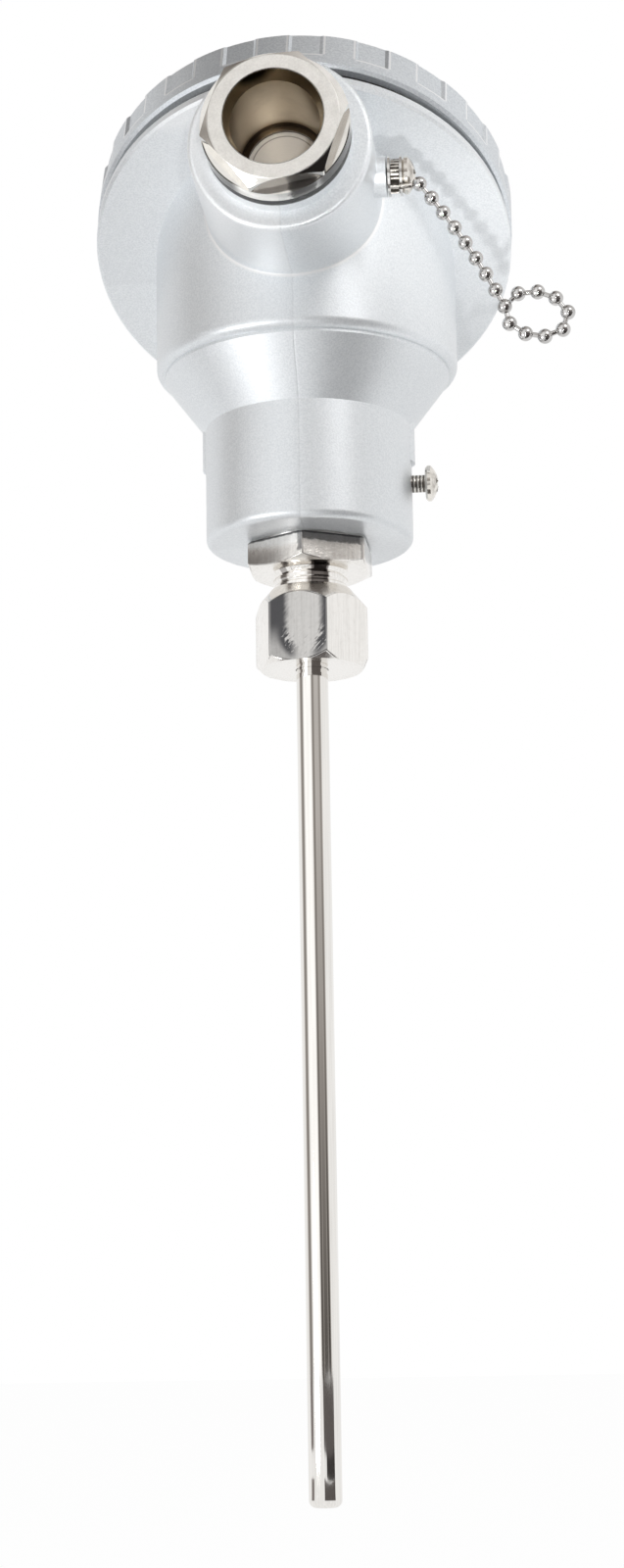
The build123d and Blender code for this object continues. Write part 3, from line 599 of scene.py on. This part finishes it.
def gland_painted_shade(g, place, away, reach):
    """Painted shade on the gland nut: dark reflections on its lower right chamfer and on the step under its
    lower flat, and the shadow on its rim over the gap.
    """
    x, along, up = g.split(away)
    bearing = g.bearing(up, x)
    depth = g.minus(along, gland_front_y)
    cone = g.times(g.minus(reach, gland_front_radius), gland_chamfer_slope)
    on_cone = g.ramp(g.size(g.minus(depth, cone)), 0.06 * MM, 0.14 * MM, 1.0, 0.0)
    on_cone = g.times(on_cone, g.ramp(depth, 0.06 * MM, 0.12 * MM))
    chamfer = g.times(on_cone, g.band(bearing, *chamfer_shade))
    on_rim = g.ramp(reach, gland_rim_radius - 0.3 * MM, gland_rim_radius - 0.2 * MM)
    on_rim = g.times(on_rim, g.ramp(along, gland_rim_y - 0.1 * MM, gland_rim_y))
    right_side, left_side = [g.band(bearing, *stretch) for stretch in rim_shades]
    rim = g.times(on_rim, g.larger(right_side, left_side))
    facing = radians(gland_flat_side)
    out = g.vector("DOT_PRODUCT", away, (cos(facing), 0.0, sin(facing)))
    across = g.vector("DOT_PRODUCT", away, (-sin(facing), 0.0, cos(facing)))
    on_step = g.ramp(out, gland_half_width - 0.2 * MM, gland_half_width - 0.1 * MM)
    on_step = g.times(on_step, g.ramp(along, gland_rim_y - 0.5 * MM, gland_rim_y - 0.1 * MM))
    left, right, soft, ragged = step_painted_shade
    stray = g.line(g.noise(place, 900, 3.0, 0.6), 2 * ragged, -ragged)
    patch = g.times(on_step, g.band(g.plus(across, stray), left, right, soft))
    return g.larger(chamfer, g.larger(rim, patch))


def gland_nickel(g, place):
    """Nickel of the cable gland: streaked bore, painted darker on its left and at its deep end as shade, a
    mouth with painted highlight and shade, stippled front ring, clean flats with painted shade.
    """
    away = g.vector("SUBTRACT", place, boss_centre)
    x, along, up = g.split(away)
    reach = g.reach(away, "Y")
    stain = g.noise(place, 260, 3.0)
    marks = g.rings(reach, along, 6000)
    stipple = g.noise(place, 2800, 3.0, 0.7)
    cloud = g.noise(place, 300, 3.0)
    front = g.ramp(along, gland_front_y + 0.1 * MM, gland_front_y + 0.3 * MM, 1.0, 0.0)
    inside = g.ramp(reach, mouth_radius, mouth_radius + 0.05 * MM, 1.0, 0.0)
    bore = g.times(inside, g.ramp(along, mouth_end_y - 0.3 * MM, mouth_end_y + 0.1 * MM))
    mouth = g.minus(inside, bore)
    base = g.mix(g.ramp(cloud, 0.35, 0.7), rgb(0.86, 0.84, 0.80), rgb(0.78, 0.76, 0.72))
    # Painted shade: the bore is darker on its left side
    inner = g.mix(g.ramp(x, -8.8 * MM, -2.0 * MM), rgb(0.33, 0.27, 0.19), rgb(0.60, 0.52, 0.40))
    inner = g.paint(inner, rgb(0.40, 0.33, 0.24), g.ramp(stain, 0.45, 0.7), 0.3)
    # Painted shade at the bore's deep end
    bore_end_shade = g.ramp(along, gland_end_y - 1.4 * MM, gland_end_y - 1.0 * MM)
    inner = g.mix(bore_end_shade, inner, rgb(0.08, 0.06, 0.04))
    base = g.mix(bore, base, inner)
    # Painted shade and highlight on the mouth's chamfer: dark towards the top left, light elsewhere
    top_left = g.plus(g.times(x, -0.4), up)
    mouth_highlight_shade = g.mix(g.ramp(top_left, 8.2 * MM, 9.2 * MM), rgb(0.98, 0.96, 0.90), rgb(0.05, 0.04, 0.03))
    base = g.mix(mouth, base, mouth_highlight_shade)
    # Painted shade: a dark line round the mouth's rim on the front face
    mouth_edge_shade = g.band(reach, mouth_radius - 0.12 * MM, mouth_radius + 0.08 * MM, 0.1 * MM)
    base = g.paint(base, rgb(0.1, 0.09, 0.08), mouth_edge_shade, front, 0.8)
    # Painted shade on the chamfer, step and rim, standing for dark reflections and the shadow under the nut
    base = g.paint(base, rgb(0.03, 0.027, 0.025), gland_painted_shade(g, place, away, reach), 0.9)
    base = g.paint(base, rgb(0.62, 0.60, 0.57), front, g.ramp(stipple, 0.35, 0.65), 0.35)
    rough = g.ramp(g.larger(front, g.times(bore, 0.6)), 0.0, 1.0, 0.12, 0.42)
    normal = g.bump(marks, 0.001 * MM, 0.4)
    normal = g.bump(g.times(front, stipple), 0.08 * MM, 0.6, normal)
    return {"Base Color": base, "Metallic": 1.0, "Roughness": rough, "Normal": normal}


def disc_nickel(g, place):
    """Pale blanking disc with a dark ring near its edge."""
    away = g.vector("SUBTRACT", place, boss_centre)
    reach = g.reach(away, "Y")
    fine = g.rings(reach, g.split(away)[1], 5000)
    base = g.mix(g.ramp(fine, 0.3, 0.7), rgb(1.0, 0.96, 0.90), rgb(0.95, 0.91, 0.85))
    base = g.paint(base, rgb(0.25, 0.21, 0.17), g.band(reach, *disc_line, 0.1 * MM), 0.7)
    return {"Base Color": base, "Metallic": 0.2, "Roughness": 0.4}


def knurl_painted_shade(g, place):
    """Knurled plate about the chain screw's axis, painted dark in patches and along its teeth as shade
    between the washers.
    """
    y, z = g.split(g.vector("SUBTRACT", place, lug_place))[1:]
    teeth = g.math("SINE", g.times(g.math("ARCTAN2", z, y), knurl_teeth))
    patch = g.noise(place, 900, 3.0)
    # Painted shade between the washers: dark patches and dark stripes with the teeth
    shade = g.ramp(g.plus(g.times(teeth, 0.22), patch), 0.35, 0.62)
    base = g.mix(shade, rgb(0.08, 0.07, 0.06), rgb(0.80, 0.77, 0.72))
    normal = g.bump(teeth, 0.08 * MM, 0.6)
    return {"Base Color": base, "Metallic": 1.0, "Roughness": 0.25, "Normal": normal}


def screw_plate(seat_x, axis_y, axis_z):
    """Nickel screw: bright head with a painted dark ring standing for reflections on its dome, painted shade
    in the thread grooves on the shank behind its seat.
    """

    def build(g, place):
        x = g.split(place)[0]
        shank = g.ramp(x, seat_x - 0.15 * MM, seat_x - 0.05 * MM, 1.0, 0.0)
        thread = g.math("SINE", g.times(x, 2 * pi / thread_pitch))
        cloud = g.noise(place, 500, 3.0)
        base = g.mix(g.ramp(cloud, 0.35, 0.7), rgb(0.85, 0.82, 0.77), rgb(0.72, 0.69, 0.64))
        # Painted shade in the thread's grooves
        base = g.paint(base, rgb(0.05, 0.04, 0.035), g.ramp(thread, -0.5, 0.5), shank, 0.88)
        reach = g.reach(g.vector("SUBTRACT", place, (0.0, axis_y, axis_z)), "X")
        # Painted reflection: the stain mask is a dark ring on the head's dome, broken by the cloud
        stain = g.band(reach, screw_head_radius * 0.45, screw_head_radius * 0.85, screw_head_radius * 0.3)
        base = g.paint(base, rgb(0.16, 0.14, 0.12), stain, g.ramp(cloud, 0.35, 0.6), 0.6)
        normal = g.bump(g.times(thread, shank), -0.1 * MM, 0.7)
        return {"Base Color": base, "Metallic": 1.0, "Roughness": 0.12, "Normal": normal}

    return build


def steel(g, place):
    """Polished stainless tube with faint lengthwise and cross marks."""
    streak = g.noise(g.vector("MULTIPLY", place, (1.0, 1.0, 0.02)), 2600, 3.0)
    wave = g.noise(place, 90)
    base = g.mix(g.ramp(streak, 0.3, 0.8), rgb(0.84, 0.82, 0.79), rgb(0.74, 0.72, 0.69))
    rough = g.ramp(streak, 0.2, 0.8, 0.03, 0.06)
    normal = g.bump(streak, 0.001 * MM, 0.4)
    normal = g.bump(wave, 0.01 * MM, 0.3, normal)
    return {"Base Color": base, "Metallic": 1.0, "Roughness": rough, "Normal": normal}


def plain(tint, rough, metallic=0.0, grain_scale=1500, height=0.02 * MM):
    """Fine-grained finish for the smaller parts."""

    def build(g, place):
        grain = g.noise(place, grain_scale, 3.0)
        base = g.mix(g.ramp(grain, 0.3, 0.7), rgb(*tint), rgb(*[c * 0.82 for c in tint]))
        edge = g.ramp(grain, 0.2, 0.8, rough * 0.85, min(1.0, rough * 1.15))
        normal = g.bump(grain, height, 0.4)
        return {"Base Color": base, "Metallic": metallic, "Roughness": edge, "Normal": normal}

    return build


set_camera()
set_world()
set_lights()
add_floor()
add_floor_cards()

# Finishes by the slot's name, and those of single pieces by the piece's name
finishes = {
    "housing": finish_material("housing_paint", satin_paint),
    "cap": finish_material("cap_paint", cap_paint),
    "nickel": finish_material("nickel_plate", nickel((0.80, 0.77, 0.72), 0.2)),
    "sheath": finish_material("stainless", steel),
    "rubber": finish_material("rubber", plain((0.018, 0.018, 0.019), 0.6)),
    "plated": finish_material("bright_plate", nickel((0.82, 0.81, 0.79), 0.13)),
    "ceramic": finish_material("ceramic", plain((0.78, 0.76, 0.70), 0.35)),
    "brass": finish_material("brass", plain((0.72, 0.55, 0.28), 0.3, metallic=1.0)),
    "wire_red": finish_material("wire_red", plain((0.45, 0.03, 0.03), 0.4)),
    "wire_white": finish_material("wire_white", plain((0.75, 0.74, 0.72), 0.4)),
    "resin": finish_material("resin", plain((0.06, 0.05, 0.045), 0.35)),
    "powder": finish_material("oxide_powder", plain((0.72, 0.71, 0.69), 0.9)),
    "element": finish_material("element_ceramic", plain((0.70, 0.66, 0.58), 0.5)),
}
bead_plate = plain((0.62, 0.61, 0.60), 0.05, metallic=1.0, grain_scale=400, height=0.002 * MM)
own_finishes = {
    "compression_nut": finish_material("nut_nickel", milled_nickel(nut_flats, nut_shades, arc_shades=nut_arc_shades)),
    "fitting_body": finish_material(
        "fitting_nickel", milled_nickel(fitting_flats, fitting_shades, reflection_bands=stub_painted_reflections)
    ),
    "gland_nut": finish_material("gland_nickel", gland_nickel),
    "gland_washer": finish_material("gland_washer_nickel", gland_nickel),
    "chain_strand": finish_material("bead_plate", bead_plate),
    "chain_end_tag": finish_material("tag_plate", knurl_painted_shade),
    "chain_screw": finish_material("chain_screw_plate", screw_plate(chain_head_x, *lug_place[1:])),
    "lock_screw": finish_material("lock_screw_plate", screw_plate(lock_head_x, 0.0, lock_z)),
    "blanking_disc": finish_material("disc_plate", disc_nickel),
}
own_finishes["chain_loop"] = own_finishes["chain_strand"]
for name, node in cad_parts.items():
    for slot in node.material_slots:
        slot_name = slot.material.name.split(".")[0] if slot.material else ""
        slot.material = own_finishes.get(name, finishes.get(slot_name, slot.material))

bpy.context.scene.view_settings.view_transform = "Standard"
